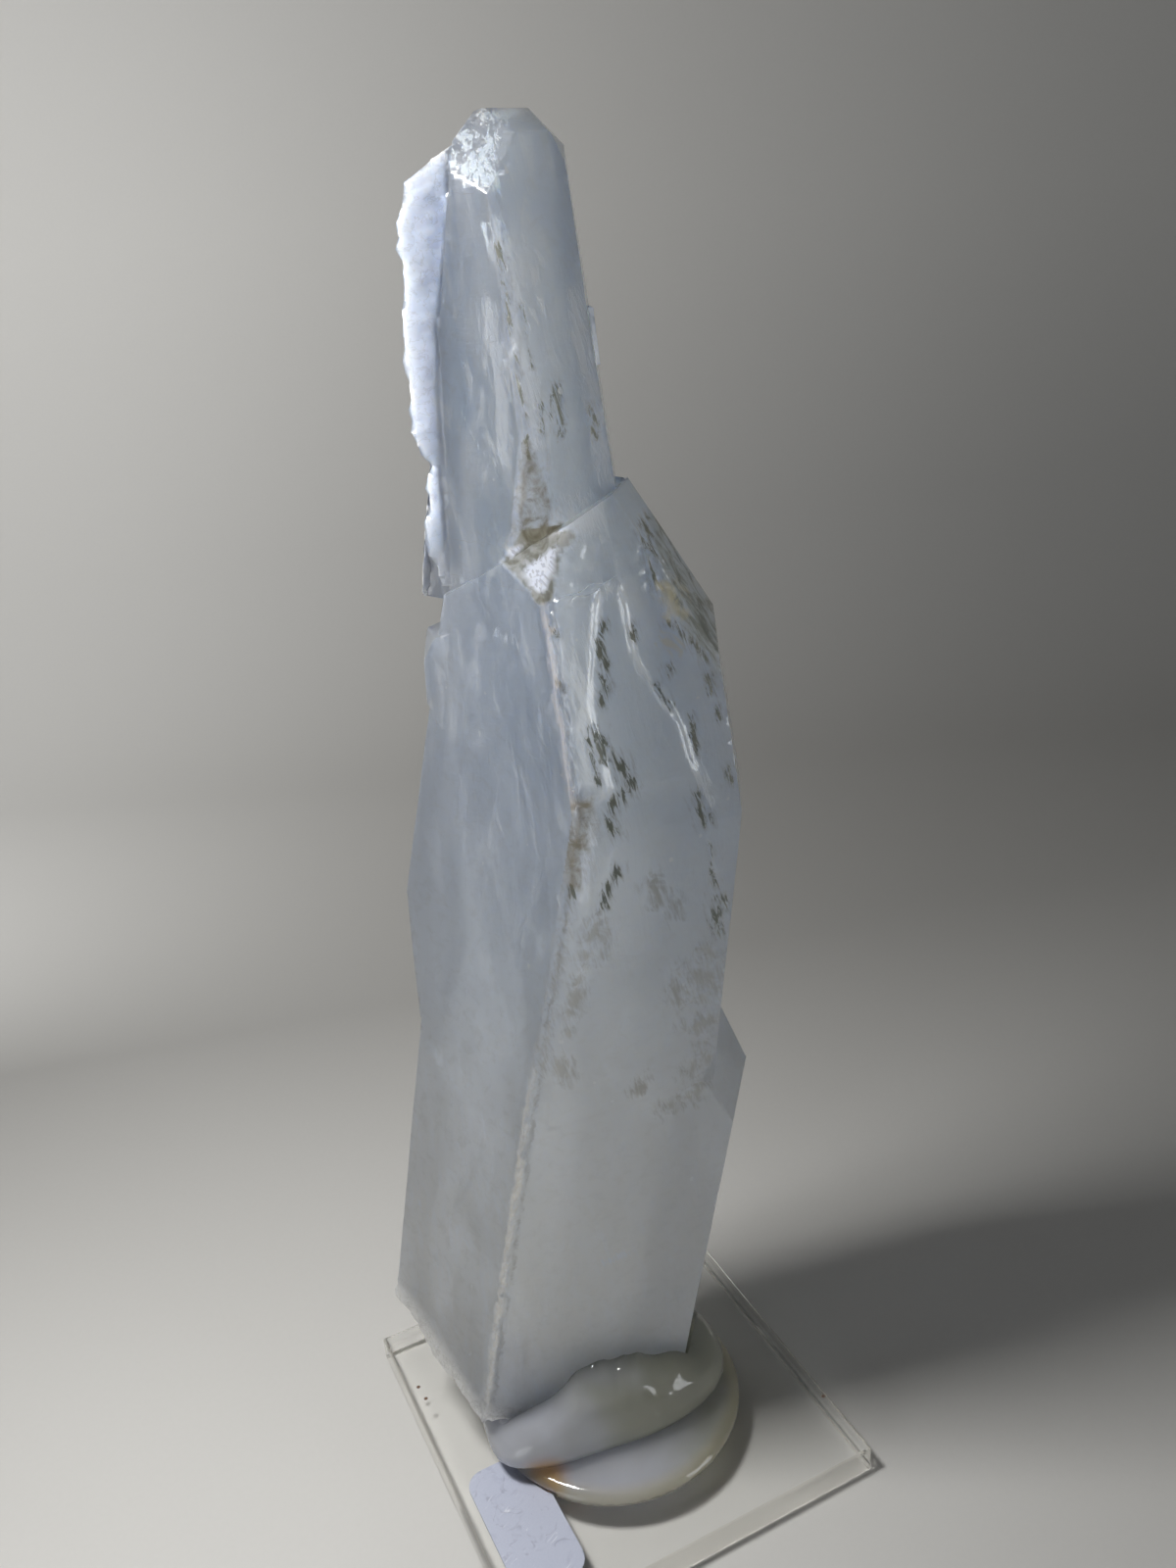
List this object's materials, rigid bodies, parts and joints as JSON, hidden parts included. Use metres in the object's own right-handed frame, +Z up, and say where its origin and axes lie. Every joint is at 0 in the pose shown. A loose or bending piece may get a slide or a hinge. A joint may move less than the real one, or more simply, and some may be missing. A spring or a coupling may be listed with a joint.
{
  "type": "mounted quartz crystal specimen",
  "caption": "Tall leaning quartz crystal with a thin upper column and a broken foot, fixed by a collar and a round pad of clear glue on a square acrylic base with a bare label.",
  "frame": {"origin": "middle of the acrylic base's underside", "axes": "+Z up along the crystal's height, +X along the front edge of the base, -Y towards the front"},
  "size_m": [0.04, 0.04, 0.1297],
  "materials": {
    "quartz": "cloudy translucent crystal, satin to glossy faces",
    "collar_glue": "milky translucent hot-melt glue, glossy",
    "pad_glue": "milky translucent hot-melt glue, glossy",
    "acrylic": "clear polished acrylic, see-through",
    "label_paper": "matt pale lilac paper, worn"
  },
  "bodies": {
    "root": {"faden_quartz": "quartz", "glue_collar": "collar_glue", "glue_pad": "pad_glue", "acrylic_plate": "acrylic", "number_label": "label_paper"}
  },
  "joints": []
}
